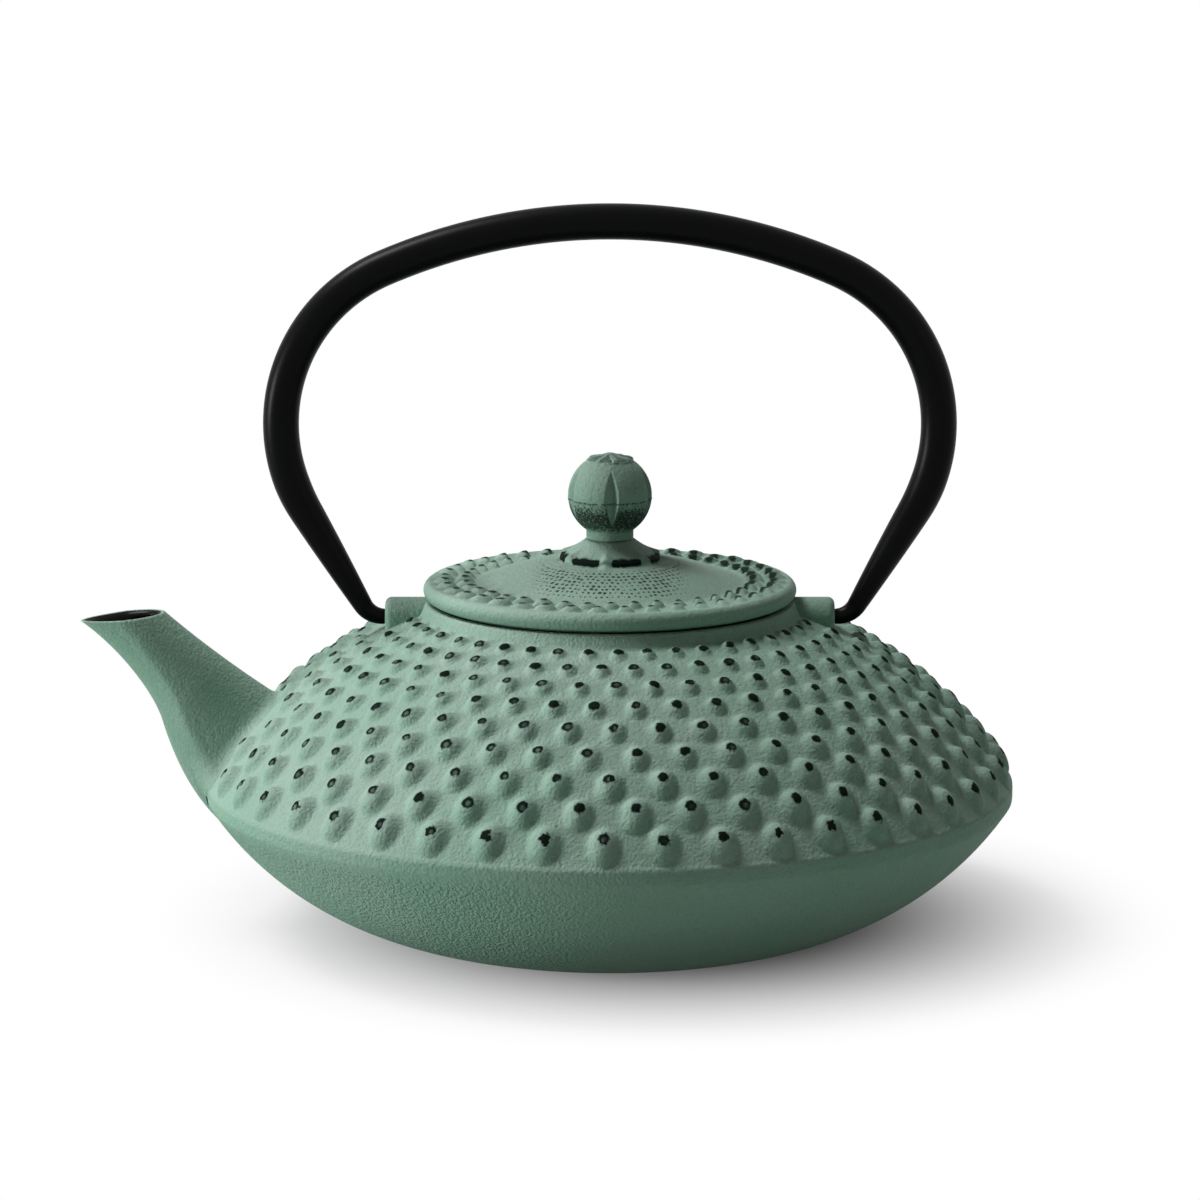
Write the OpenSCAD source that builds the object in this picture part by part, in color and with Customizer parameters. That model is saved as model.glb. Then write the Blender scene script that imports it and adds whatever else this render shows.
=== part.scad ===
// Low cast iron teapot with a hobnail shoulder, a bail handle and a lift-out steel infuser.
// It stands on the plane z = 0, the pot's axis is the Z axis and the spout points to -X.

/* [Pot bowl] */
// Radius of the smooth band round the belly
pot_r = 101.5; // [94:0.5:110]
// Radius of the flat base
foot_r = 48; // [42:0.5:56]
// Height of the lower edge of the band
band_z = 34.5; // [32:0.5:38]
// Height of the band itself
band_h = 4; // [3:0.5:6]
// Roundness of the bowl below the band, half the angle that its arc turns
bowl_turn = 24; // [20:0.5:27]
// Thickness of the cast wall
wall = 3.6; // [3:0.1:4.5]
// Thickness of the cast floor
floor_t = 4.4; // [3.5:0.1:6]

/* [Shoulder and neck] */
// How far the shoulder steps in above the band
shoulder_step = 0.6; // [0.3:0.1:1.2]
// Roundness of the shoulder, half the angle that its arc turns
shoulder_turn = 18; // [15:0.5:21]
// Radius of the neck at its top
neck_r = 46.3; // [44:0.1:49]
// How much the neck spreads down to the shoulder
neck_flare = 1.5; // [0.5:0.1:3]
// Height of the neck's top face, on which the lid sits
neck_z = 83.6; // [80:0.2:88]
// Height of the plain neck between its top and the hobnails
neck_h = 3.2; // [2.5:0.1:4]
// Width of the neck's top, from the mouth to the outside
neck_w = 7.8; // [6.5:0.1:9]
// Depth of the infuser's seat round the mouth
seat_depth = 1.2; // [1.1:0.1:2]
// Width of the infuser's seat
seat_w = 2.5; // [1.5:0.1:3.5]

/* [Hobnails] */
// Rows of hobnails up the shoulder
nub_rows = 9; // [6:1:9]
// Hobnails in each row
nub_count = 44; // [32:1:46]
// Distance from the band up to the first row, along the shoulder
nub_start = 6.8; // [5.5:0.1:8]
// Distance between the two lowest rows, along the shoulder
nub_pitch = 8.15; // [7.2:0.05:8.3]
// How much closer each further pair of rows lies
nub_closing = 0.2; // [0:0.05:0.3]
// Width of a hobnail, as a share of its spacing round the row
nub_width = 0.53; // [0.4:0.01:0.6]
// Height of a hobnail, as a share of its width
nub_height = 0.31; // [0.25:0.01:0.36]
// Turn of the lowest row from the front, in degrees
nub_phase = -0.9; // [-4:0.1:4]
// Turn of each row against the one below, beyond half a space, in degrees
nub_twist = 0.38; // [0:0.02:0.6]

/* [Spout] */
// How far the lip reaches out past the band
spout_reach = 31.5; // [26:0.5:36]
// Height of the lip's outer tip
spout_z = 78.4; // [74:0.2:82]
// Length of the mouth of the spout, lip to root side
spout_mouth_len = 21.2; // [18:0.2:24]
// How much higher the root side of the mouth lies than the lip
spout_mouth_rise = 2.2; // [1:0.1:4]
// Width of the mouth of the spout
spout_mouth_w = 13.6; // [12:0.2:16]
// Width of the spout where it leaves the bowl
spout_root_w = 27; // [22:0.5:32]
// Wall of the spout
spout_wall = 2.6; // [2:0.1:3]

/* [Ears] */
// Radius of the round ear about its bore
ear_r = 4.9; // [4.2:0.1:5.4]
// How far the ear stands out past the neck's top
ear_len = 10.1; // [9:0.1:12]
// Height of the ear's top above the neck's top
ear_rise = 0.8; // [0.2:0.1:1.2]
// Rounding of the ear's outer edge
ear_round = 1.1; // [0.5:0.1:1.6]
// Radius of the handle's pin ends
pin_r = 1.85; // [1.5:0.05:2.2]
// Radial clearance of a pin in its ear
pin_gap = 0.08; // [0.05:0.01:0.1]
// Depth of the bore in each ear
pin_depth = 8.2; // [6:0.1:8.6]

/* [Lid] */
// How far the lid's rim stands out past the neck
lid_overhang = 0.5; // [0.2:0.1:1]
// Radius of the lid's rounded rim
lid_rim_r = 2.35; // [2:0.05:2.7]
// Open joint under the rim, outside the seat
lid_joint = 0.6; // [0.4:0.1:1]
// Width of the flat petal border inside the rim
border_w = 11.2; // [10:0.1:13]
// Rise of the dome above the border
dome_h = 6.7; // [5:0.1:8]
// Thickness of the domed part
lid_wall = 3.4; // [2.8:0.1:4]
// Depth of the locating ring under the lid
flange_h = 7; // [5:0.5:8]
// Thickness of the locating ring
flange_t = 2.6; // [2:0.1:3]
// Petals in each of the two border rings
petal_count = 40; // [30:1:44]

/* [Knob] */
// Radius of the ball
ball_r = 10.5; // [9:0.1:12]
// Radius of the knob's neck
stem_r = 5.9; // [5.2:0.1:6.5]
// Height of the neck under the ball
stem_h = 2.2; // [1.2:0.1:3]
// Lens-shaped flutes round the ball
flute_count = 5; // [4:1:6]
// Depth of a flute
flute_depth = 0.9; // [0.6:0.1:1.2]
// Height of the flower cap on the ball
cap_h = 2.2; // [1.6:0.1:2.6]
// Petals of the cap
cap_petals = 8; // [6:1:10]
// Petals of the calyx under the knob
calyx_petals = 7; // [6:1:9]
// Height of the calyx above the dome's crown
calyx_h = 4.3; // [3:0.1:5]
// Radius of the calyx where it meets the dome
calyx_r = 12.6; // [11:0.1:14]
// Radius of the screw's shank
screw_r = 2; // [1.5:0.1:2.2]

/* [Handle] */
// Thickness of the bow
bow_d = 9; // [7.5:0.1:10]
// Slope of the straight legs from the horizontal
leg_lean = 59.5; // [54:0.5:64]
// Length of the straight part of each leg
leg_len = 27.8; // [24:0.2:32]
// Radius of the bend between a pin and its leg
foot_bend_r = 6; // [5:0.2:8]
// Radius of the bow's shoulders
bow_r = 42.8; // [39:0.2:46]
// Angle through which each shoulder of the bow turns
bow_turn = 97; // [92:0.5:101]
// Length over which each leg tapers, measured from its foot
taper_len = 42; // [36:1:48]

/* [Infuser] */
// Thickness of the steel rim
rim_t = 0.8; // [0.6:0.1:1]
// Clearance of the basket in the mouth
basket_gap = 2.5; // [2.1:0.1:4]
// Depth of the basket below its rim
basket_h = 44; // [36:1:52]
// Thickness of the basket's mesh
mesh_t = 0.5; // [0.4:0.1:0.8]
// Height of the pressed cup at the bottom of the basket
cup_h = 3; // [2:0.5:5]
// Clearance of the rim in its seat
rim_gap = 0.4; // [0.2:0.1:0.6]

/* [Hidden] */
$fn = 120;
eps = 0.01;
iron_green = [0.45, 0.58, 0.51];
enamel_black = [0.06, 0.06, 0.065];
steel = [0.75, 0.76, 0.77];

// An arc from a to b that turns left through twice the given angle: its centre and its radius
function arc_centre(a, b, turn) = (a + b) / 2 + [a[1] - b[1], b[0] - a[0]] / (2 * tan(turn));
function arc_radius(a, b, turn) = norm(b - a) / (2 * sin(turn));
// A point on the Bezier curve that the control points p give
function bezier(p, t) = len(p) == 1 ? p[0]
    : bezier([for (i = [0 : len(p) - 2]) p[i] * (1 - t) + p[i + 1] * t], t);

// ---- pot ----
shoulder_z = band_z + band_h;
collar = [neck_r + neck_flare, neck_z - neck_h];
mouth_r = neck_r - neck_w;
basket_r = mouth_r - basket_gap;
bowl_a = [foot_r, 0];
bowl_b = [pot_r, band_z];
bowl_c = arc_centre(bowl_a, bowl_b, bowl_turn);
bowl_arc = arc_radius(bowl_a, bowl_b, bowl_turn);
shoulder_a = [pot_r - shoulder_step, shoulder_z];
shoulder_c = arc_centre(shoulder_a, collar, shoulder_turn);
shoulder_arc = arc_radius(shoulder_a, collar, shoulder_turn);

module block(x0, x1, z0, z1) translate([x0, z0]) square([x1 - x0, z1 - z0]);

// The space inside the bowl's arc, grown by a step, down to the height z0
module bowl_region(grow, z0) {
    intersection() {
        union() {
            translate(bowl_c) circle(bowl_arc + grow);
            block(0, bowl_c[0], z0, neck_z);
        }
        block(0, 2 * pot_r, z0, neck_z);
    }
}

module pot_outline() {
    intersection() {
        bowl_region(0, 0);
        union() {
            block(0, pot_r, 0, shoulder_z);
            intersection() {
                translate(shoulder_c) circle(shoulder_arc);
                block(0, 2 * pot_r, shoulder_z, collar[1]);
            }
        }
    }
    polygon([[0, collar[1]], collar, [neck_r, neck_z], [0, neck_z]]);
}

seat_z = neck_z - seat_depth;
seat_r = mouth_r + seat_w;

module pot_hollow() {
    intersection() {
        bowl_region(-wall, floor_t);
        translate(shoulder_c) circle(shoulder_arc - wall);
    }
    block(0, mouth_r, (floor_t + neck_z) / 2, neck_z + 1);
    block(0, seat_r, seat_z, neck_z + 1);
}

// ---- hobnails ----
// Angle on the shoulder's arc, and radius, of row k
function row_travel(k) = nub_start + nub_pitch * k - nub_closing * k * (k - 1) / 2;
function row_angle(k) =
    atan2(shoulder_a[1] - shoulder_c[1], shoulder_a[0] - shoulder_c[0])
    + row_travel(k) / shoulder_arc * 180 / PI;
function row_r(k) = shoulder_c[0] + shoulder_arc * cos(row_angle(k));
function row_z(k) = shoulder_c[1] + shoulder_arc * sin(row_angle(k));
// Place of hobnail j in row k round the pot, counted from -Y towards +X
function nub_turn(k, j) = (j + (k % 2) / 2) * 360 / nub_count + nub_phase + nub_twist * k;
function nub_d(k) = nub_width * 2 * PI * row_r(k) / nub_count;
// A hobnail is left out where the spout or an ear stands
function nub_clear(k, a) =
    let (x = row_r(k) * sin(a), y = abs(row_r(k) * cos(a)), half = nub_d(k) / 2)
    !(x < 0 && y < spout_half_w(row_z(k)) + half * 0.6)
    && !(abs(x) < ear_out + half && y < ear_r + half);

module nub(k) {
    d = nub_d(k);
    h = nub_height * d;
    r = (d * d / 4 + h * h) / (2 * h);
    travel = shoulder_arc + h - r;
    translate([0, -(shoulder_c[0] + travel * cos(row_angle(k))),
               shoulder_c[1] + travel * sin(row_angle(k))])
        rotate([90 - row_angle(k), 0, 0]) sphere(r, $fn = 24);
}

module hobnails() {
    for (k = [0 : nub_rows - 1], j = [0 : nub_count - 1])
        if (nub_clear(k, nub_turn(k, j))) rotate(nub_turn(k, j)) nub(k);
}

// ---- spout ----
lip = [-(pot_r + spout_reach), spout_z];
heel = lip + [spout_mouth_len, spout_mouth_rise];
spout_bend = [-(pot_r + 11.5), spout_z - 24.9];
keel_low = [[-(pot_r - 17.5), band_z - 17.5], [-(pot_r - 1.5), band_z - 10.5],
            [-(pot_r + 6.5), band_z + 1.5], spout_bend];
keel_high = [spout_bend, [-(pot_r + 14), spout_z - 17.4], [lip[0] + 9, spout_z - 6.4], lip];
ridge_line = [[-(pot_r - 27.5), spout_z - 25.4], [-(pot_r - 4.5), spout_z - 10.9], heel];
keel_share = 0.55;
// Lower and upper outline of the spout at t, from the root at 0 to the lip at 1
function keel(t) = t < keel_share ? bezier(keel_low, t / keel_share)
    : bezier(keel_high, (t - keel_share) / (1 - keel_share));
function ridge(t) = bezier(ridge_line, t);
function spout_half(t) = (spout_root_w + (spout_mouth_w - spout_root_w) * pow(t, 0.8)) / 2;
// Half the width that the hobnails leave for the spout's root at a height
function spout_half_w(z) = z > ridge(0.35)[1] ? 0 : spout_root_w / 2;
// Half width at the share s of the way up a section: a nose below the flank's edge, a round back
flank_edge = 0.28;
function section_w(s, t) =
    let (edge = flank_edge + (0.5 - flank_edge) * pow(t, 3),
         below = pow(min(s / edge, 1), 0.62 - 0.12 * t),
         above = sqrt(1 - pow(max(s - edge, 0) / (1 - edge), 2)))
    below * above;
spout_sides = 24;
spout_steps = 18;
// One ring of the spout, each wall moved in by the given amount
function spout_ring(t, inset) =
    let (lo = keel(t), hi = ridge(t), chord = hi - lo, u = chord / norm(chord),
         a = lo + u * inset, b = hi - u * inset, w = spout_half(t) - inset)
    [for (i = [0 : spout_sides - 1])
        let (turn = 360 * i / spout_sides, s = (1 - cos(turn)) / 2, p = a + (b - a) * s,
             side = (turn == 0 || turn == 180) ? 0 : (turn < 180 ? 1 : -1) * w * section_w(s, t))
        [p[0], side, p[1]]];

module loft(rings) {
    n = len(rings[0]);
    m = len(rings);
    polyhedron(
        points = [for (ring = rings) each ring],
        faces = concat(
            [[for (i = [n - 1 : -1 : 0]) i]],
            [for (k = [0 : m - 2], i = [0 : n - 1])
                [k * n + i, (k + 1) * n + (i + 1) % n, (k + 1) * n + i]],
            [for (k = [0 : m - 2], i = [0 : n - 1])
                [k * n + i, k * n + (i + 1) % n, (k + 1) * n + (i + 1) % n]],
            [[for (i = [0 : n - 1]) (m - 1) * n + i]]));
}

module spout_outside()
    loft([for (k = [0 : spout_steps]) spout_ring(k / spout_steps, 0)]);

// The channel runs on past the lip, so that it opens the mouth cleanly
module spout_channel() {
    rings = [for (k = [0 : spout_steps]) spout_ring(k / spout_steps, spout_wall)];
    last = rings[spout_steps];
    loft(concat(rings, [[for (p = last) p + [-1.5, 0, 2]]]));
}

// ---- ears ----
ear_out = neck_r + ear_len;
pivot_z = neck_z + ear_rise - ear_r;
bore_r = pin_r + pin_gap;

module ear() {
    inner = neck_r - 0.4;
    translate([0, 0, pivot_z]) rotate([0, 90, 0]) rotate_extrude() {
        translate([0, inner]) square([ear_r - ear_round, ear_out - inner]);
        translate([0, inner]) square([ear_r, ear_out - ear_round - inner]);
        translate([ear_r - ear_round, ear_out - ear_round]) circle(ear_round);
    }
    translate([inner, -ear_r, pivot_z - ear_r]) cube([ear_len - ear_round, 2 * ear_r, ear_r]);
}

module ear_bore()
    translate([ear_out - pin_depth, 0, pivot_z]) rotate([0, 90, 0])
        cylinder(r = bore_r, h = pin_depth + 1);

module pot_body() color(iron_green) difference() {
    union() {
        rotate_extrude() pot_outline();
        hobnails();
        spout_outside();
        ear();
        mirror([1, 0, 0]) ear();
    }
    rotate_extrude() pot_hollow();
    spout_channel();
    ear_bore();
    mirror([1, 0, 0]) ear_bore();
}

// ---- lid ----
lid_r = neck_r + lid_overhang;
rim_c = [lid_r - lid_rim_r, neck_z + lid_joint + lid_rim_r];
border_z = rim_c[1] + lid_rim_r - 0.4;
dome_r = lid_r - lid_rim_r - border_w;
dome_arc = (dome_r * dome_r + dome_h * dome_h) / (2 * dome_h);
dome_c = border_z + dome_h - dome_arc;
flange_gap = 0.6;
flange_r = basket_r - mesh_t - flange_gap;
calyx_z = border_z + dome_h + calyx_h;
boss_z = border_z + dome_h - lid_wall - 2;

module lid_outline() {
    translate(rim_c) circle(lid_rim_r);
    polygon([[flange_r - flange_t, neck_z], [rim_c[0] - 0.6, neck_z],
             [rim_c[0] - 0.6, neck_z + lid_joint], [rim_c[0], neck_z + lid_joint],
             [rim_c[0], border_z + 0.4], [rim_c[0] - 0.8, border_z], [flange_r - flange_t, border_z]]);
    block(flange_r - flange_t, flange_r, neck_z - flange_h, neck_z + eps);
    difference() {
        intersection() {
            translate([0, dome_c]) circle(dome_arc);
            block(0, dome_r, neck_z, border_z + dome_h);
        }
        intersection() {
            translate([0, dome_c]) circle(dome_arc - lid_wall);
            block(0, flange_r - flange_t, 0, border_z + dome_h);
        }
    }
    block(0, screw_r + 5, boss_z, border_z + dome_h - 1);
    polygon([[0, border_z + dome_h - 2], [calyx_r, border_z + dome_h - 1.6],
             [calyx_r - 0.6, border_z + dome_h - 0.4], [stem_r + 0.5, calyx_z], [0, calyx_z]]);
}

petal_slant = 28;
// One slanted petal of the border, a cone lying half sunk in the metal
module petal(r, slant, length, width)
    translate([0, -r, border_z - width * 0.1]) rotate(slant) translate([0, length / 2, 0])
        rotate([90, 0, 0]) cylinder(r1 = width * 0.32, r2 = width / 2, h = length, $fn = 24);

module petals(r, slant, length, shift) {
    width = 2 * PI * r / petal_count * 0.6;
    for (j = [0 : petal_count - 1])
        rotate((j + shift) * 360 / petal_count) petal(r, slant, length, width);
}

module lid() color(iron_green) difference() {
    union() {
        rotate_extrude() lid_outline();
        petals(dome_r + 2.6, petal_slant, 3.6, 0);
        petals(dome_r + 7, petal_slant, 4.2, 0.5);
    }
    for (j = [0 : calyx_petals - 1]) rotate((j + 0.5) * 360 / calyx_petals - 5)
        translate([-2.6, -calyx_r - 1, border_z + dome_h - 0.9]) cube([5.2, 3.4, 1.3]);
    translate([0, 0, boss_z - 1]) cylinder(r = screw_r + 0.3, h = calyx_z - boss_z + 2);
}

// ---- knob ----
ball_z = calyx_z + stem_h + sqrt(ball_r * ball_r - stem_r * stem_r);
cap_z = ball_z + sqrt(ball_r * ball_r - stem_r * stem_r);
knob_bore = ball_z - calyx_z;

// A lens-shaped flute: a disc with a sharp edge that bites into the ball
module flute() {
    lens_r = ball_r * 0.72;
    translate([0, -(ball_r + lens_r * 0.30 - flute_depth), ball_z]) rotate([0, 90, 0])
        scale([1.15, 0.30, 1]) for (side = [0, 1]) mirror([0, 0, side])
            cylinder(r1 = lens_r, r2 = 0, h = 2.2);
}

module lid_knob() color(iron_green) difference() {
    union() {
        translate([0, 0, ball_z]) sphere(ball_r);
        translate([0, 0, calyx_z]) cylinder(r = stem_r, h = ball_z - calyx_z - ball_r / 2);
        translate([0, 0, cap_z - 0.4]) cylinder(r1 = stem_r + 0.1, r2 = 1.6, h = cap_h + 0.4);
    }
    for (j = [0 : flute_count - 1]) rotate(j * 360 / flute_count + 2) flute();
    for (j = [0 : cap_petals - 1]) rotate((j + 0.5) * 360 / cap_petals + 14)
        translate([-1.5, -stem_r - 0.6, cap_z + 0.1]) cube([3, 2.6, 0.9]);
    translate([0, 0, calyx_z - 1]) cylinder(r = screw_r + 0.05, h = knob_bore + 1);
}

washer_t = 0.8;
module knob_washer() color(steel) difference() {
    translate([0, 0, boss_z - washer_t]) cylinder(r = screw_r + 3, h = washer_t);
    translate([0, 0, boss_z - washer_t - 1]) cylinder(r = screw_r + 0.3, h = washer_t + 2);
}

module knob_screw() color(steel) {
    head_z = boss_z - washer_t;
    head_h = 2.4;
    difference() {
        union() {
            translate([0, 0, head_z - head_h]) cylinder(r = screw_r + 1.6, h = head_h);
            translate([0, 0, head_z - eps]) cylinder(r = screw_r, h = calyx_z + knob_bore - 2 - head_z);
        }
        translate([-0.5, -screw_r - 2, head_z - head_h - 1]) cube([1, 2 * screw_r + 4, 2]);
    }
}

// ---- handle ----
foot_x = ear_out + 0.5;
foot_r_end = pin_r + 0.1;
foot_len = foot_bend_r * leg_lean * PI / 180;
bow_len = bow_r * bow_turn * PI / 180;
crown_turn = 180 - leg_lean - bow_turn;
// Where an arc that starts at p, heads along h and turns left by a on radius r, arrives
function turn_left(p, h, r, a) = p + r * [sin(h + a) - sin(h), cos(h) - cos(h + a)];
leg_a = turn_left([foot_x, pivot_z], 0, foot_bend_r, leg_lean);
leg_b = leg_a + leg_len * [cos(leg_lean), sin(leg_lean)];
bow_b = turn_left(leg_b, leg_lean, bow_r, bow_turn);
crown_r = bow_b[0] / sin(crown_turn);
crown_len = crown_r * crown_turn * PI / 180;
half_len = foot_len + leg_len + bow_len + crown_len;
// Place and heading of the bow's centreline at the distance s from the foot
function bow_heading(s) =
    s < foot_len ? leg_lean * s / foot_len
    : s < foot_len + leg_len ? leg_lean
    : s < foot_len + leg_len + bow_len ? leg_lean + bow_turn * (s - foot_len - leg_len) / bow_len
    : 180 - crown_turn * (half_len - s) / crown_len;
function bow_point(s) =
    s < foot_len ? turn_left([foot_x, pivot_z], 0, foot_bend_r, bow_heading(s))
    : s < foot_len + leg_len ? leg_a + (s - foot_len) * [cos(leg_lean), sin(leg_lean)]
    : s < foot_len + leg_len + bow_len
        ? turn_left(leg_b, leg_lean, bow_r, bow_heading(s) - leg_lean)
    : turn_left(bow_b, leg_lean + bow_turn, crown_r, bow_heading(s) - leg_lean - bow_turn);
// Radius of the bow, which tapers towards the foot and eases into its full thickness
function bow_radius(s) =
    let (q = min(s / taper_len, 1)) foot_r_end + (bow_d / 2 - foot_r_end) * (1 - pow(1 - q, 1.35));
bow_sides = 20;
function bow_ring(s, side) =
    let (p = bow_point(s), h = bow_heading(s), r = bow_radius(s))
    [for (i = [0 : bow_sides - 1])
        let (a = 360 * i / bow_sides)
        [side * (p[0] - r * cos(a) * sin(h)), r * sin(a), p[1] + r * cos(a) * cos(h)]];
foot_steps = 6;
leg_steps = 8;
bow_steps = 20;
crown_steps = 5;
bow_stations = concat(
    [for (i = [0 : foot_steps - 1]) foot_len * i / foot_steps],
    [for (i = [0 : leg_steps - 1]) foot_len + leg_len * i / leg_steps],
    [for (i = [0 : bow_steps - 1]) foot_len + leg_len + bow_len * i / bow_steps],
    [for (i = [0 : crown_steps]) half_len - crown_len * (1 - i / crown_steps)]);

module handle() color(enamel_black) {
    last = len(bow_stations) - 1;
    loft(concat([for (s = bow_stations) bow_ring(s, 1)],
                [for (i = [last - 1 : -1 : 0]) bow_ring(bow_stations[i], -1)]));
    for (side = [0, 1]) mirror([side, 0, 0])
        translate([ear_out - pin_depth + 0.4, 0, pivot_z]) rotate([0, 90, 0])
            cylinder(r = pin_r, h = foot_x - ear_out + pin_depth);
}

// ---- infuser ----
module tube(r_out, r_in, z0, z1) translate([0, 0, z0]) difference() {
    cylinder(r = r_out, h = z1 - z0);
    translate([0, 0, -1]) cylinder(r = r_in, h = z1 - z0 + 2);
}

module infuser_rim() color(steel)
    tube(seat_r - rim_gap, basket_r, seat_z, seat_z + rim_t);

module infuser_wall() color(steel)
    tube(basket_r, basket_r - mesh_t, seat_z - basket_h, seat_z + rim_t);

module infuser_cup() color(steel) difference() {
    translate([0, 0, seat_z - basket_h - mesh_t]) cylinder(r = basket_r + mesh_t, h = cup_h + mesh_t);
    translate([0, 0, seat_z - basket_h]) cylinder(r = basket_r, h = cup_h + 1);
}

pot_body();
lid();
lid_knob();
knob_washer();
knob_screw();
handle();
infuser_rim();
infuser_wall();
infuser_cup();
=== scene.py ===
import bpy
import numpy as np
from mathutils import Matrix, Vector


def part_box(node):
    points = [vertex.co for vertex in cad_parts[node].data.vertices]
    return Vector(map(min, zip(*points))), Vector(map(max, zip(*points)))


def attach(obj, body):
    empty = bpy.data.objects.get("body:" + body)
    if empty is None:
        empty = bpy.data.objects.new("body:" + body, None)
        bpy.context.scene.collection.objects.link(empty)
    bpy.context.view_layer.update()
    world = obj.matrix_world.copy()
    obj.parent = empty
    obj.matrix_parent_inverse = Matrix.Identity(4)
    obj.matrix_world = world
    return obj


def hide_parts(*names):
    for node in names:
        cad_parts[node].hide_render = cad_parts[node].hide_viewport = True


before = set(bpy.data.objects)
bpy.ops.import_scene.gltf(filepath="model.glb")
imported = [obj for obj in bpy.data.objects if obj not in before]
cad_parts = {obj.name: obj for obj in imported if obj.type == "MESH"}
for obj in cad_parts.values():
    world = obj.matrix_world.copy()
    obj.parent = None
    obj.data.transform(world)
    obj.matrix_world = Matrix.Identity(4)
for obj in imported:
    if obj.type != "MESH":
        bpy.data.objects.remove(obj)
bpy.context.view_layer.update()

scene = bpy.context.scene
MM = 0.001

# ---- Table, light and camera ----
# The pot stands on a plain white table. A large soft lamp hangs high on the left, a second one
# low on the left, a weak one fills from the right, and the camera looks slightly down.
TABLE_RADIUS = 9.0
TABLE_WHITE = (0.5, 0.5, 0.5, 1)
WHITE = (1, 1, 1, 1)
# Painted shadow on the table: its centre, shifted towards the shadow's side, and the radii where the fade to
# white starts and ends.
PAINTED_SHADOW_MIDDLE = (0.014, 0.010, 0)
PAINTED_SHADOW_START = 0.035
PAINTED_SHADOW_END = 0.135
ROOM_LIGHT = 0.085
LOOK_AT = Vector((0, 0, 0.07))
CAMERA_PLACE = (-0.00248, -1.300, 0.3288)
CAMERA_PITCH = np.radians(79.32)
CAMERA_LENS = 158.02
CAMERA_SENSOR = 36
CAMERA_SEES = 100


class Signal:
    """A number that a material's nodes carry. Arithmetic on it adds the Math nodes that work it out."""

    def __init__(self, tree, socket):
        self.tree = tree
        self.socket = socket

    def math(self, operation, *others):
        """What a Math node makes of this number and the others."""
        return Signal(self.tree, add(self.tree, "Math", self, *others, operation=operation).outputs[0])

    def __add__(self, other):
        return self.math("ADD", other)

    def __sub__(self, other):
        return self.math("SUBTRACT", other)

    def __mul__(self, other):
        return self.math("MULTIPLY", other)

    def __truediv__(self, other):
        return self.math("DIVIDE", other)


def feed(tree, node, place, value):
    """Links a signal or a socket into one of a node's inputs, or sets the input to a plain value."""
    if isinstance(value, Signal):
        value = value.socket
    if isinstance(value, bpy.types.NodeSocket):
        tree.links.new(value, node.inputs[place])
    elif value is not None:
        node.inputs[place].default_value = value


def add(tree, kind, *inputs, **settings):
    """Adds a node of a kind with its settings, and feeds its inputs in order."""
    made = tree.nodes.new("ShaderNode" + kind)
    for name, value in settings.items():
        setattr(made, name, value)
    for place, value in enumerate(inputs):
        feed(tree, made, place, value)
    return made


def fade(value, start, end):
    """0 where the value is at start and 1 where it is at end, with a smooth step between."""
    step = add(value.tree, "MapRange", value, start, end, 0.0, 1.0, interpolation_type="SMOOTHSTEP")
    return Signal(value.tree, step.outputs[0])


def fade_mm(value, ends):
    """The same for a place, between two ends in millimetres."""
    return fade(value, *(end * MM for end in ends))


def seen_by_eye(tree):
    """1 for a ray from the camera, from a reflection or through glass, and 0 for other light."""
    rays = add(tree, "LightPath").outputs
    seen = Signal(tree, rays["Is Camera Ray"])
    return seen.math("MAXIMUM", rays["Is Glossy Ray"]).math("MAXIMUM", rays["Is Transmission Ray"])


def blank_finish(name):
    """A material without nodes, and the tree that its nodes go into."""
    material = bpy.data.materials.new(name)
    material.use_nodes = True
    material.node_tree.nodes.clear()
    return material, material.node_tree


def end_with(tree, shader, kind="OutputMaterial"):
    """Links a shader to the output node that ends a tree."""
    tree.links.new(shader.outputs[0], add(tree, kind).inputs[0])


def table_finish():
    """Lit by the lamps under and beside the pot, where its soft shadow lies, and plain white to the
    camera farther out. The change to white fades out from a centre shifted towards the shadow's side, so
    the shadow's soft edge and reach are painted shadow."""
    material, tree = blank_finish("white_table")
    lit = add(tree, "BsdfDiffuse", TABLE_WHITE)
    white = add(tree, "Emission", WHITE, 1.0)
    place = add(tree, "TexCoord").outputs["Object"]
    far = add(tree, "VectorMath", place, PAINTED_SHADOW_MIDDLE, operation="DISTANCE").outputs["Value"]
    # Painted shadow: near a centre shifted to the shadow's side the camera sees the lit table with its real
    # shadow, and between two radii this fades to white, which paints the shadow's soft edge and reach.
    share = fade(Signal(tree, far), PAINTED_SHADOW_START, PAINTED_SHADOW_END)
    shown = add(tree, "MixShader", share, lit.outputs[0], white.outputs[0])
    end_with(tree, add(tree, "MixShader", seen_by_eye(tree), lit.outputs[0], shown.outputs[0]))
    return material


turn = np.linspace(0, 2 * np.pi, 96, endpoint=False)
rim = np.stack([TABLE_RADIUS * np.cos(turn), TABLE_RADIUS * np.sin(turn), 0 * turn], 1)
table_mesh = bpy.data.meshes.new("table")
table_mesh.from_pydata(rim.tolist(), [], [list(range(len(rim)))])
table = bpy.data.objects.new("table", table_mesh)
scene.collection.objects.link(table)
table_mesh.materials.append(table_finish())


def lamp(name, place, size, power, colour):
    """A square area lamp at a place, turned towards the pot."""
    data = bpy.data.lights.new(name, "AREA")
    data.shape = "SQUARE"
    data.size = size
    data.energy = power
    data.color = colour
    made = bpy.data.objects.new(name, data)
    made.location = place
    made.rotation_euler = (LOOK_AT - Vector(place)).to_track_quat("-Z", "Y").to_euler()
    scene.collection.objects.link(made)


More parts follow.
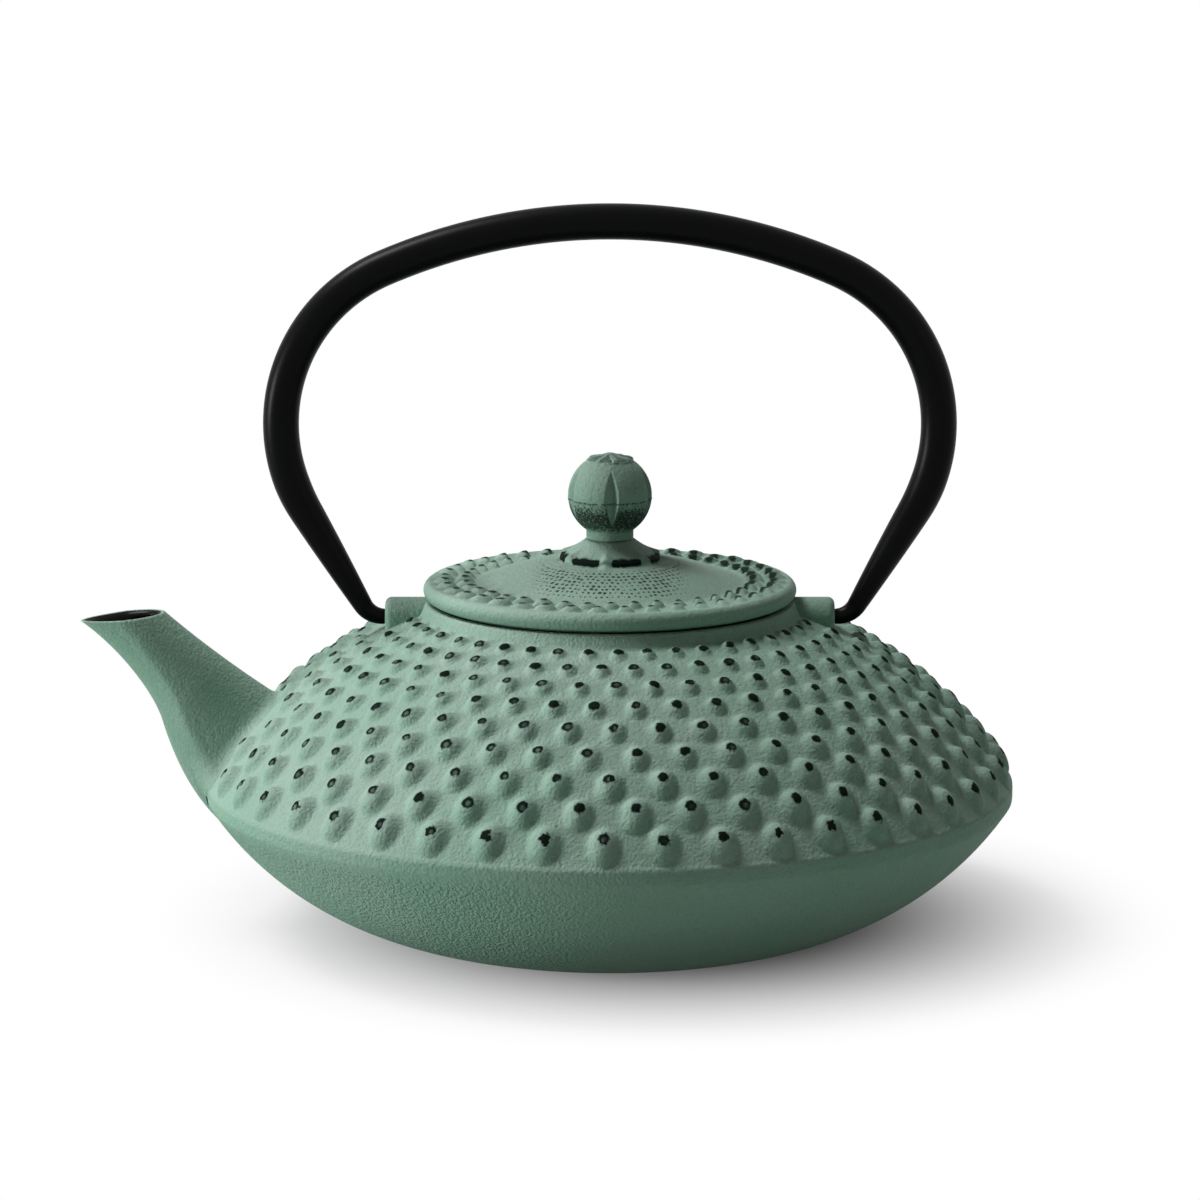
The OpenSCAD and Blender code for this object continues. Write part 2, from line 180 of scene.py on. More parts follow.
lamp("window", (-0.88, 0.16, 1.58), 0.6, 31, (1, 0.98, 0.985))
lamp("low_window", (-1.4, -0.25, 0.16), 0.3, 13.5, (1, 0.95, 0.975))
lamp("fill", (1.3, -0.9, 0.7), 1.0, 1.0, (1, 0.98, 0.82))

world = bpy.data.worlds.new("room")
scene.world = world
world.use_nodes = True
room = world.node_tree
room.nodes.clear()
dim = add(room, "Background", WHITE, ROOM_LIGHT)
bright = add(room, "Background", WHITE, 1.0)
end_with(room, add(room, "MixShader", seen_by_eye(room), dim.outputs[0], bright.outputs[0]), "OutputWorld")

camera_data = bpy.data.cameras.new("camera")
camera_data.lens = CAMERA_LENS
camera_data.sensor_width = CAMERA_SENSOR
camera_data.clip_end = CAMERA_SEES
camera = bpy.data.objects.new("camera", camera_data)
camera.location = CAMERA_PLACE
camera.rotation_euler = (CAMERA_PITCH, 0, 0)
scene.collection.objects.link(camera)
scene.camera = camera
scene.view_settings.view_transform = "Standard"

# ---- Pot ----
# The pot is one iron casting: a low bowl, a smooth band, and a shoulder with nine rows of
# hobnails. It is sprayed sage green outside, worn dark on the hobnails, and enamelled black inside.
POT_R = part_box("pot_body")[1][0] / MM
FOOT_R = 48
WALL = 3.6
FLOOR = 4.4
BAND_Z = 34.5
BAND_H = 4
BAND_EDGE = 0.3
SHOULDER_STEP = 0.6
NECK_R = 46.3
NECK_FLARE = 1.5
NECK_Z = 83.6
NECK_H = 3.2
MOUTH_R = 38.5
SEAT_W = 2.5
SEAT_DEPTH = 1.2
BOWL_TURN = np.radians(24)
SHOULDER_TURN = np.radians(18)
POT_EASE = 0.55
HUB_R = 0.5
# Rows of hobnails, and the spout and the ears that they keep clear of.
ROWS = 9
ROW_START = 6.8
ROW_GAP = 8.15
ROW_CLOSER = 0.1
ROW_GAP_MEAN = 7.6
ROW_GAP_TOP = 6.6
ROW_DEGREES = -0.9
ROW_CREEP = 0.38
NAILS = 44
NAIL_TURN = 2 * np.pi / NAILS
NAIL_COLUMNS = 14
NAIL_WIDE = 7.6
NAIL_NARROWER = 0.44
NAIL_TALL = 2.45
NAIL_LOWER = 0.13
NAIL_ROUND = 0.65
NAIL_LEAN = 0.2
NAIL_LONGER = 0.8
WIDE_CHANCE = 0.035
TALL_CHANCE = 0.06
SLIP_CHANCE = 0.03
ROOT_WIDE = 27
ROOT_TOP_Z = 61
EAR_R = 4.9
EAR_LONG = 10
# Worn tips: a spot's radius, its fade and its heart's, as shares of that radius.
TIP_R = 1.2
TIP_R_CHANCE = 0.35
TIP_SLIP = 0.5
TIP_SCALE = 700
TIP_RAGGED = 1.3
TIP_FADE = (1.12, 0.74)
HEART_FADE = (0.62, 0.15)
HEART_PALE = 0.42
# Green coat and black enamel. A scale is per metre, and a bump is a strength and a depth in metres.
SAGE = (0.182, 0.340, 0.250, 1)
# Pale sage: the colour of the coat's random paler clouds, and also painted light on surfaces that face up.
SAGE_PALE_CLOUDS_AND_PAINTED_LIGHT = (0.256, 0.372, 0.310, 1)
WORN = (0.005, 0.011, 0.008, 1)
COAT_ROUGH = 0.62
COAT_SHINE = 0.08
WORN_SHINE = 0.01
CLOUD_SCALE = 22
CLOUD_PALE = 0.4
# How far the sage is painted towards pale where the surface faces up: painted light from above.
UP_FACING_PAINTED_LIGHT = 0.75
SPECK_SCALE = 1500
SPECK_DARK = 0.22
SAND_SCALE = 1250
COARSE_SCALE = 620
COARSE_TALL = 0.9
SANDY_TALL = 3.2
SANDY_FADE = 3
SANDY_RIGHT = 30
SANDY_LEFT = -50
COAT_BUMP = (0.8, 0.0003)
ENAMEL = (0.004, 0.0045, 0.0045, 1)
ENAMEL_PALER = 1.35
ENAMEL_ROUGH = 0.3
ENAMEL_SHINE = 0.05
ENAMEL_CLOUD_SCALE = 60
SWELL_SCALE = 300
ENAMEL_BUMP = (0.25, 0.0001)


def arc_middle(a, b, turn):
    """Centre and radius of the arc that runs from a to b and turns left through twice the angle."""
    a, b = np.array(a, float), np.array(b, float)
    across = np.array([a[1] - b[1], b[0] - a[0]])
    return (a + b) / 2 + across / (2 * np.tan(turn)), np.hypot(*(b - a)) / (2 * np.sin(turn))


def arc(a, b, turn, steps):
    """Points along that arc, evenly spaced."""
    return arc_round(*arc_middle(a, b, turn), a, b, steps)


def arc_round(centre, radius, a, b, steps=60):
    """Points of a radius round a centre, evenly spaced from the direction of a to that of b."""
    ends = [np.arctan2(*(np.array(place) - centre)[::-1]) for place in (a, b)]
    angle = np.linspace(*ends, steps)
    return centre + radius * np.stack([np.cos(angle), np.sin(angle)], 1)


def crossing(centre_a, radius_a, centre_b, radius_b):
    """The outer point where two circles cross: along the line of their centres as far as the radii
    say, and then square to it."""
    gap = np.hypot(*(centre_b - centre_a))
    line = (centre_b - centre_a) / gap
    reach = (radius_a**2 - radius_b**2 + gap**2) / (2 * gap)
    aside = np.array([-line[1], line[0]]) * np.sqrt(radius_a**2 - reach**2)
    both = centre_a + line * reach + np.outer((1, -1), aside)
    return both[both[:, 0].argmax()]


def run_lengths(line):
    """Length along an outline at each of its points."""
    return np.r_[0, np.cumsum(np.hypot(*np.diff(line, axis=0).T))]


def length_at(line, place):
    """Length along an outline at its point nearest to a place."""
    return run_lengths(line)[np.argmin(np.hypot(*(line - place).T))]


def eased(points, radius, spacing=0.2):
    """The same outline with every corner rounded: evenly spaced points, each the mean of those within
    the radius, weighted by a hump."""
    points = np.array(points, float)
    length = run_lengths(points)
    at = np.linspace(0, length[-1], int(length[-1] / spacing) + 1)
    even = np.stack([np.interp(at, length, points[:, axis]) for axis in (0, 1)], 1)
    reach = int(radius / spacing)
    weight = np.hanning(2 * reach + 3)[1:-1]
    weight /= weight.sum()
    before = 2 * even[0] - even[reach:0:-1]
    after = 2 * even[-1] - even[-2:-reach - 2:-1]
    padded = np.concatenate([before, even, after])
    return np.stack([np.convolve(padded[:, axis], weight, "valid") for axis in (0, 1)], 1)


def stations(start, *stretches):
    """Stations along an outline, from a start. Each stretch is a number of stations and where it ends:
    they are evenly spaced up to that end, which the next stretch begins with."""
    at = []
    for count, end in stretches:
        at.append(np.linspace(start, end, count, endpoint=False))
        start = end
    return np.concatenate(at + [[start]])


def on_outline(line, at):
    """Radius and height of an outline at stations along it."""
    return [np.interp(at, run_lengths(line), line[:, axis]) for axis in (0, 1)]


def round_axis(r, z, angle):
    """Points at a radius and a height, turned round the axis by an angle from the front."""
    return np.stack([r * np.sin(angle), -r * np.cos(angle), z], -1)


def surface(name, rings, finishes, uv=None, marks=None, sides=None):
    """A closed surface through rings of points, rings x columns x 3 in millimetres.

    It meets itself round each ring, and a fan to its middle closes the first and the last one. uv
    maps each point, marks holds a value per point by the name that a finish reads, and sides says
    which finish each strip between two rings has. The sign of the volume turns the faces outwards."""
    rings = np.asarray(rings, float)
    ring_count, columns = rings.shape[:2]
    middle = ring_count * columns
    points = np.concatenate([rings.reshape(-1, 3), rings[[0, -1]].mean(1)]) * MM
    place = np.arange(middle).reshape(ring_count, columns)
    beside = np.roll(place, -1, 1)
    quads = np.stack([place[:-1], beside[:-1], beside[1:], place[1:]], -1).reshape(-1, 4)
    first = np.stack([beside[0], place[0], np.full(columns, middle)], 1)
    last = np.stack([place[-1], beside[-1], np.full(columns, middle + 1)], 1)
    a, b, c, d = points[quads].transpose(1, 0, 2)
    if (np.cross(a, b) * c).sum() + (np.cross(a, c) * d).sum() < 0:
        quads, first, last = quads[:, ::-1], first[:, ::-1], last[:, ::-1]
    mesh = bpy.data.meshes.new(name)
    mesh.vertices.add(len(points))
    mesh.vertices.foreach_set("co", points.astype(np.float32).ravel())
    corners = np.concatenate([quads.ravel(), first.ravel(), last.ravel()])
    starts = np.concatenate([np.arange(len(quads)) * 4, quads.size + np.arange(2 * columns) * 3])
    mesh.loops.add(len(corners))
    mesh.loops.foreach_set("vertex_index", corners.astype(np.int32))
    mesh.polygons.add(len(starts))
    mesh.polygons.foreach_set("loop_start", starts.astype(np.int32))
    mesh.polygons.foreach_set("use_smooth", np.ones(len(starts), bool))
    mesh.update(calc_edges=True)
    if uv is not None:
        # The faces that close a ring end where it began, and there u goes on counting.
        flat = np.concatenate([uv.reshape(-1, 2), uv[[0, -1]].mean(1)])[corners]
        seam = np.zeros((ring_count - 1, columns, 4), bool)
        seam[:, -1] = True
        past_seam = seam.ravel() & (quads.ravel() % columns == 0)
        flat[:quads.size, 0][past_seam] += (uv[0, 1, 0] - uv[0, 0, 0]) * columns
        layer = mesh.uv_layers.new(name="rows")
        layer.data.foreach_set("uv", flat.astype(np.float32).ravel())
    for mark, values in (marks or {}).items():
        layer = mesh.attributes.new(mark, "FLOAT", "POINT")
        full = np.concatenate([np.asarray(values, float).ravel(), [0, 0]])
        layer.data.foreach_set("value", full.astype(np.float32))
    made = bpy.data.objects.new(name, mesh)
    scene.collection.objects.link(made)
    for material in finishes:
        mesh.materials.append(material)
    if sides is not None:
        per_face = np.repeat(np.concatenate([sides, sides[[0, -1]]]), columns)
        mesh.polygons.foreach_set("material_index", per_face.astype(np.int32))
    return made


def span(a, b):
    """Length of the line whose two sides are given: the root of the sum of their squares."""
    return (a * a + b * b).math("POWER", 0.5)


def parts_of(tree, vector):
    """The three numbers of a vector."""
    return [Signal(tree, part) for part in add(tree, "SeparateXYZ", vector).outputs]


def mark_of(tree, name):
    """A value that the surface holds for each of its points."""
    return Signal(tree, add(tree, "Attribute", attribute_name=name).outputs["Fac"])


def mixed(share, a, b):
    """Two colours mixed by a share."""
    mix = add(share.tree, "Mix", share, None, None, None, None, None, a, b, data_type="RGBA")
    return mix.outputs[2]


def grain(tree, place, scale, detail=2.0, rough=0.55):
    """A noise of a scale per metre, from 0 to 1."""
    return Signal(tree, add(tree, "TexNoise", place, None, scale, detail, rough).outputs[0])


def lots(tree, column, row):
    """Numbers from 0 to 1 drawn for each cell: one by itself, and three more."""
    cell = add(tree, "CombineXYZ", column, row).outputs[0]
    drawn = add(tree, "TexWhiteNoise", cell, noise_dimensions="3D").outputs
    return Signal(tree, drawn[0]), parts_of(tree, drawn[1])


def coat(tree, looks, height, strength, depth):
    """Ends a tree with a coat: its looks go in by the input's name, and the height dents it by a
    strength and a depth."""
    skin = add(tree, "BsdfPrincipled")
    for place, value in looks.items():
        feed(tree, skin, place, value)
    feed(tree, skin, "Normal", add(tree, "Bump", strength, depth, None, height).outputs[0])
    end_with(tree, skin)


def sage_iron(name, worn=None, sandy_z=None):
    """Sage coat on cast iron with a fine sandy grain.

    It is paler in broad clouds, painted paler as painted light where it faces up, and dark where worn
    says. Below the height sandy_z and towards the left the sand stands out more."""
    material, tree = blank_finish(name)
    coords = add(tree, "TexCoord").outputs
    place = coords["Object"]
    clouds = fade(grain(tree, place, CLOUD_SCALE, 3.0), 0.35, 0.65) * CLOUD_PALE - CLOUD_PALE / 4
    # Painted light: where the surface faces up the coat is mixed towards the pale sage.
    painted_light_facing = parts_of(tree, coords["Normal"])[2]
    colour = mixed(clouds + fade(painted_light_facing, -0.3, 0.95) * UP_FACING_PAINTED_LIGHT, SAGE, SAGE_PALE_CLOUDS_AND_PAINTED_LIGHT)
    speck = fade(grain(tree, place, SPECK_SCALE, 2.0, 0.6), 0.5, 0.8)
    colour = mixed(speck * SPECK_DARK, colour, WORN)
    coarse = grain(tree, place, COARSE_SCALE, 2.0, 0.5)
    height = coarse * COARSE_TALL + grain(tree, place, SAND_SCALE, 3.0, 0.6)
    if sandy_z:
        x, _, z = parts_of(tree, place)
        low = fade_mm(z, (sandy_z, sandy_z - SANDY_FADE)) * fade_mm(x, (SANDY_RIGHT, SANDY_LEFT))
        height = height + grain(tree, place, SAND_SCALE, 1.0, 0.5) * (low * SANDY_TALL + 0.4)
    shine = COAT_SHINE
    if worn:
        mask = worn(tree, place)
        colour = mixed(mask, colour, WORN)
        shine = mask * (WORN_SHINE - COAT_SHINE) + COAT_SHINE
    looks = {"Base Color": colour, "Roughness": COAT_ROUGH, "Specular IOR Level": shine}
    coat(tree, looks, height, *COAT_BUMP)
    return material


def hobnail_tips(tree, place):
    """Dark worn spots on the hobnails' tips, found in the row map.

    A whole v is a row and a whole u one of its hobnails, half a step on in every second row. A
    spot's edge is ragged, most in the lowest row. It lies a little off the tip, its size differs by
    chance, and it ends where the hobnail is low. Some have a paler heart, more on the left."""
    u, v, _ = parts_of(tree, add(tree, "UVMap", uv_map="rows").outputs[0])
    row = v.math("ROUND")
    shifted = u - row.math("PINGPONG", 1.0) * 0.5
    column = shifted.math("ROUND")
    x, y, _ = parts_of(tree, place)
    one, (aside, up, larger) = lots(tree, column, row)
    across = (shifted - column) * (span(x, y) * (NAIL_TURN / MM)) + (aside * TIP_SLIP - TIP_SLIP / 2)
    along = (v - row) * ROW_GAP_MEAN + (up * TIP_SLIP - 0.1)
    lowest = fade(row, 0.6, 0.4)
    ragged = grain(tree, place, TIP_SCALE, 2.0) * TIP_RAGGED - TIP_RAGGED / 2
    ragged = ragged * (lowest * 0.9 + 1.0)
    size = row * 0.01 + (larger * TIP_R_CHANCE + TIP_R)
    spot = fade((span(across, along) + ragged) / size, *TIP_FADE)
    bare = fade(x * -7.0 + one, 0.3, 1.3) * HEART_PALE
    heart = fade(span(across - 0.25, along + 0.3) / size, *HEART_FADE) * bare
    on_tip = fade(mark_of(tree, "raised"), 0.4, 0.65)
    return ((spot - heart) * on_tip).math("MAXIMUM", 0.0)


def enamel_black(name, colour, rough):
    """Black enamel: a little paler in clouds, and smooth with a faint orange-peel swell."""
    material, tree = blank_finish(name)
    place = add(tree, "TexCoord").outputs["Object"]
    paler = tuple(part * ENAMEL_PALER for part in colour[:3]) + (1,)
    tint = mixed(fade(grain(tree, place, ENAMEL_CLOUD_SCALE, 2.0), 0.3, 0.7), colour, paler)
    looks = {"Base Color": tint, "Roughness": rough, "Specular IOR Level": ENAMEL_SHINE}
    coat(tree, looks, grain(tree, place, SWELL_SCALE, 2.0), *ENAMEL_BUMP)
    return material


shoulder_z = BAND_Z + BAND_H
collar = (NECK_R + NECK_FLARE, NECK_Z - NECK_H)
shoulder_foot = (POT_R - SHOULDER_STEP, shoulder_z)
bowl_centre, bowl_radius = arc_middle((FOOT_R, 0), (POT_R, BAND_Z), BOWL_TURN)
shoulder_centre, shoulder_radius = arc_middle(shoulder_foot, collar, SHOULDER_TURN)
inner_bowl = bowl_radius - WALL
inner_shoulder = shoulder_radius - WALL
belly = crossing(bowl_centre, inner_bowl, shoulder_centre, inner_shoulder)


def body_distance(points):
    """How far points lie outside the pot's smooth body, which is where the rounds of the bowl, the
    shoulder and the band overlap: the largest of the distances to the three."""
    r = np.hypot(points[..., 0], points[..., 1])
    z = points[..., 2]
    bowl = np.hypot(r - bowl_centre[0], z - bowl_centre[1]) - bowl_radius
    shoulder = np.hypot(r - shoulder_centre[0], z - shoulder_centre[1]) - shoulder_radius
    return np.maximum(np.maximum(bowl, shoulder), r - POT_R)


def body_slope(points, step=0.01):
    """Direction straight out of that body, from the change of the distance over a small step along
    each axis."""
    change = [body_distance(points + step * axis) - body_distance(points - step * axis) for axis in np.eye(3)]
    slope = np.stack(change, -1)
    return slope / np.linalg.norm(slope, axis=-1, keepdims=True)


def row_travel(k):
    """Distance of row k from the band along the shoulder: each gap is a little shorter than the one
    below it."""
    return ROW_START + ROW_GAP * k - ROW_CLOSER * k * (k - 1)


def row_phase(k):
    """Turn of row k from the front, in radians: the rows creep round as they rise."""
    return np.radians(ROW_DEGREES + ROW_CREEP * k)


def hobnail_row(k, u, travel, place, steep, chance):
    """Row k of the hobnails, as a share of their full height.

    u counts hobnails round the pot, travel is the distance up from the row, place its radius and
    height. A hobnail is an egg, longer below where the shoulder is steep, and its height falls as
    (1 - distance squared) to a power. Widths, heights and places differ a little by chance, and
    none stands where the spout or an ear is cast on."""
    r, z = place
    width = NAIL_WIDE - NAIL_NARROWER * k
    wide = chance.normal(1, WIDE_CHANCE, NAILS)
    tall = chance.normal(1, TALL_CHANCE, NAILS)
    slip = chance.normal(0, SLIP_CHANCE, (2, NAILS)) * width
    middle = (np.arange(NAILS) + (k % 2) / 2) * NAIL_TURN + row_phase(k)
    x, y = r * np.sin(middle), -r * np.cos(middle)
    by_spout = (x < 0) & (np.abs(y) < ROOT_WIDE / 2 + width * 0.3) & (z < ROOT_TOP_Z)
    by_ear = (np.abs(x) < NECK_R + EAR_LONG + width / 2) & (np.abs(y) < EAR_R + width / 2)
    tall = np.where(by_spout | by_ear, 0, tall)
    cell = u - (k % 2) / 2
    which = np.round(cell).astype(int) % NAILS
    across = (cell - np.round(cell)) * NAIL_TURN * r + slip[0][which]
    along = travel[:, None] + slip[1][which]
    half = width / 2 * wide[which]
    below = half * (1 + NAIL_LONGER * steep**2)
    far = np.hypot(across / half, along / np.where(along < 0, below, half))
    return np.clip(1 - far**2, 0, 1) ** NAIL_ROUND * tall[which]


def pot_outline():
    """The casting's outline, from the middle of its foot up the outside and down the inside. The
    inside is the same two rounds, smaller by the wall."""
    mouth_low = shoulder_centre[1] + np.sqrt(inner_shoulder**2 - (MOUTH_R - shoulder_centre[0])**2)
    floor_out = bowl_centre[0] + np.sqrt(inner_bowl**2 - (FLOOR - bowl_centre[1])**2)
    seat_r, seat_z = MOUTH_R + SEAT_W, NECK_Z - SEAT_DEPTH
    return eased(np.concatenate([
        [(HUB_R, 0), (FOOT_R, 0)], arc((FOOT_R, 0), (POT_R, BAND_Z), BOWL_TURN, 200)[1:],
        [(POT_R, shoulder_z - BAND_EDGE)], arc(shoulder_foot, collar, SHOULDER_TURN, 300),
        [(NECK_R, NECK_Z), (seat_r, NECK_Z), (seat_r, seat_z), (MOUTH_R, seat_z)],
        arc_round(shoulder_centre, inner_shoulder, (MOUTH_R, mouth_low), belly),
        arc_round(bowl_centre, inner_bowl, belly, (floor_out, FLOOR))[1:], [(HUB_R, FLOOR)]]), POT_EASE)


def pot_rings():
    """The casting as rings round the axis, with its row map, how far each point is raised, and which
    strips are black.

    Each ring is turned so that its row's hobnails fall on columns: u counts hobnails and v rows.
    The hobnails lean up the shoulder, because the mould is drawn straight up."""
    line = pot_outline()
    foot = length_at(line, (FOOT_R, 0))
    band = length_at(line, (POT_R, BAND_Z))
    base = length_at(line, shoulder_foot)
    neck = length_at(line, collar)
    top = length_at(line, (NECK_R, NECK_Z))
    seat = length_at(line, (MOUTH_R, NECK_Z - SEAT_DEPTH))
    tallest = NAIL_TALL - NAIL_LOWER * np.arange(ROWS)
    rows = base + row_travel(np.arange(ROWS)) - NAIL_LEAN * tallest
    at = stations(
        0, (3, foot - 2), (5, foot + 2), (20, band - 1.5), (10, base + 1.5), (7, rows[0]),
        *[(9, row) for row in rows[1:]], (4, neck - 1), (3, neck + 1), (2, top - 0.8), (4, top + 0.8),
        (9, seat + 0.8), (8, length_at(line, belly)), (9, run_lengths(line)[-1]))
    r, z = on_outline(line, at)
    slopes = np.gradient(line, run_lengths(line), axis=0)
    along_r, along_z = (np.interp(at, run_lengths(line), slopes[:, axis]) for axis in (0, 1))
    size = np.hypot(along_r, along_z)
    along_r, along_z = along_r / size, along_z / size
    out_r, out_z = along_z, -along_r

    v = np.interp(at, rows, np.arange(ROWS))
    v = np.where(at < rows[0], (at - rows[0]) / ROW_GAP, v)
    v = np.where(at > rows[-1], ROWS - 1 + (at - rows[-1]) / ROW_GAP_TOP, v)
    columns = np.arange(NAIL_COLUMNS * NAILS)[None, :]
    turned = np.linspace(0, 2 * np.pi, columns.size, endpoint=False)[None, :]
    angle = turned + row_phase(np.clip(v, 0, ROWS - 1))[:, None]
    u = columns / NAIL_COLUMNS + 0 * angle
    height = np.zeros_like(angle)
    raised = np.zeros_like(angle)
    chance = np.random.default_rng(7)
    for k in range(ROWS):
        steep = np.interp(rows[k], at, along_z)
        share = hobnail_row(k, u, at - rows[k], on_outline(line, rows[k]), steep, chance)
        height += share * tallest[k]
        raised = np.maximum(raised, share)
    lean = NAIL_LEAN * np.clip(along_z, 0, 1)
    r = r[:, None] + height * (out_r + lean * along_r)[:, None]
    z = z[:, None] + height * (out_z + lean * along_z)[:, None]
    uv = np.stack([u, v[:, None] + 0 * u], -1)
    black = (at[:-1] > top + 1.5).astype(int)
    return round_axis(r, z, angle), uv, raised, black


green = sage_iron("sage_hobnail_iron", hobnail_tips, BAND_Z)
black_inside = enamel_black("black_enamel", ENAMEL, ENAMEL_ROUGH)
rings, uv, raised, black = pot_rings()
pot = surface("pot_casting", rings, [green, black_inside], uv, {"raised": raised}, black)
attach(pot, "pot")
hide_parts("pot_body")

# ---- Spout ----
# The spout is cast with the bowl: a keeled nose below, flat flanks that turn over an edge into
# a round back, and a nearly level oval mouth. Its channel is enamelled black like the inside.
SPOUT_REACH = 31.5
SPOUT_Z = 78.4
MOUTH_LONG = 21.2
MOUTH_RISE = 2.2
MOUTH_WIDE = 14.6
SPOUT_WALL = 2.4
SPOUT_SIDES = 64
SPOUT_STEPS = 72
ROOT_DEEP = 1.5
ROOT_EDGE = 0.28
MOUTH_EDGE = 0.5
FILLET = 3.0
FOOT_SPREAD = 10.0
KEEL_SHARE = 0.55
TAPER_SPOUT = 0.8
FLANK_ROUND = 0.62
FLANK_ROUND_LESS = 0.12
LIP_RISE = 0.12
LIP_WALL = (0.35, 0.8, 1.0, 1.05, 1.08, 1.1, 1.1, 1.1)
CHANNEL_STEPS = 20
lip = np.array([-(POT_R + SPOUT_REACH), SPOUT_Z])
heel = lip + (MOUTH_LONG, MOUTH_RISE)
spout_bend = (-(POT_R + 11.5), SPOUT_Z - 24.9)
keel_low = [(-(POT_R - 17.5), BAND_Z - 17.5), (-(POT_R - 1.5), BAND_Z - 10.5),
            (-(POT_R + 6.5), BAND_Z + 1.5), spout_bend]
keel_high = [spout_bend, (-(POT_R + 14), SPOUT_Z - 17.4), (lip[0] + 9, SPOUT_Z - 6.4), lip]
ridge_line = [(-(POT_R - 27.5), SPOUT_Z - 25.4), (-(POT_R - 4.5), SPOUT_Z - 10.9), heel]


def bezier(points, t):
    """Points at t on the Bezier curve of the control points, by repeated straight mixing."""
    layer = [np.asarray(point, float)[None, :] + 0 * t[:, None] for point in points]
    while len(layer) > 1:
        layer = [a * (1 - t[:, None]) + b * t[:, None] for a, b in zip(layer[:-1], layer[1:])]
    return layer[0]


def spout_surface(t, turn, inset):
    """Points of the spout at t, from root to lip, and at a turn round its section, moved in by the
    inset.

    The keel and the ridge are Bezier curves. Between them the half width rises as a power of the
    share of the way up to the flank's edge, and falls beyond it as a quarter ellipse."""
    shape = t.shape
    t, turn, inset = t.ravel(), turn.ravel(), inset.ravel()
    low_keel = bezier(keel_low, np.clip(t / KEEL_SHARE, 0, 1))
    high_keel = bezier(keel_high, np.clip((t - KEEL_SHARE) / (1 - KEEL_SHARE), 0, 1))
    low = np.where((t < KEEL_SHARE)[:, None], low_keel, high_keel)
    high = bezier(ridge_line, t)
    unit = (high - low) / np.hypot(*(high - low).T)[:, None]
    low, high = low + unit * inset[:, None], high - unit * inset[:, None]
    half = (ROOT_WIDE + (MOUTH_WIDE - ROOT_WIDE) * np.clip(t, 0, 1) ** TAPER_SPOUT) / 2 - inset
    share = (1 - np.cos(turn)) / 2
    edge = ROOT_EDGE + (MOUTH_EDGE - ROOT_EDGE) * np.clip(t, 0, 1) ** 3
    below = np.minimum(share / edge, 1) ** (FLANK_ROUND - FLANK_ROUND_LESS * t)
    above = np.sqrt(np.clip(1 - (np.maximum(share - edge, 0) / (1 - edge)) ** 2, 0, 1))
    side = np.sign(np.sin(turn)) * half * below * above
    middle = low + (high - low) * share[:, None]
    return np.stack([middle[:, 0], side, middle[:, 1]], 1).reshape(shape + (3,))


def spout_rings():
    """Rings from just under the pot's skin to the lip, over it and down the channel, and which strips
    are black.

    Near the body each line along the spout is pushed away from the spout's middle by what a quarter
    circle leaves, at the same distance from the body. That is the fillet, widest low on the flanks."""
    turn = np.linspace(0, 2 * np.pi, SPOUT_SIDES, endpoint=False) + 1e-4
    steps = np.linspace(0, 1, 400)
    grid_t, grid_turn = np.meshgrid(steps, turn, indexing="ij")
    far = body_distance(spout_surface(grid_t, grid_turn, 0 * grid_t))
    buried = np.cumsum(far[::-1] < -ROOT_DEEP, axis=0)[::-1] > 0
    root = steps[np.maximum(buried.sum(0) - 1, 0)]
    t = root + (1 - root) * np.linspace(0, 1, SPOUT_STEPS)[:, None] ** 1.25
    outer = spout_surface(t, np.broadcast_to(turn, t.shape), 0 * t)
    foot = FILLET + FOOT_SPREAD * np.sin(turn) ** 2 * np.clip(1.6 - 2 * (1 - np.cos(turn)), 0, 1)
    close = np.clip(body_distance(outer), 0, foot)
    push = foot - np.sqrt(foot**2 - (foot - close) ** 2)
    away = outer - outer.mean(1, keepdims=True)
    away /= np.linalg.norm(away, axis=-1, keepdims=True)
    moved = outer + away * push[..., None]
    outer = moved - body_slope(moved) * (body_distance(moved) - body_distance(outer))[..., None]
    down = np.concatenate([np.linspace(1, 0.9, len(LIP_WALL)), np.linspace(0.88, 0.3, CHANNEL_STEPS)])
    inset = np.concatenate([SPOUT_WALL * np.array(LIP_WALL), np.full(CHANNEL_STEPS, SPOUT_WALL)])
    down, inset, inner_turn = np.broadcast_arrays(down[:, None], inset[:, None], turn)
    inner = spout_surface(down, inner_turn, inset)
    over_lip = [outer[-1] + (inner[0] - outer[-1]) * 0.5 + (0, 0, LIP_RISE)]
    rings = np.concatenate([outer, over_lip, inner])
    black = np.zeros(len(rings) - 1, int)
    black[len(outer) + 1:] = 1
    return rings, black


spout_green = sage_iron("sage_spout_iron", None, BAND_Z)
rings, black = spout_rings()
spout = surface("pot_spout", rings, [spout_green, black_inside], sides=black)
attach(spout, "pot")

# ---- Ears ----
# Two round lugs are cast on the neck, one at each side, bored for the handle's pins.
# Below each lug the metal runs down into the shoulder.
EAR_OUT = NECK_R + EAR_LONG + 0.1
EAR_ROUND = 1.7
EAR_DROP = 2.0
EAR_CORNER = 0.72
PIVOT_Z = NECK_Z + 0.8 - EAR_R
BORE_R = 1.93
BORE_DEEP = 8.2
BORE_EASE = 0.5


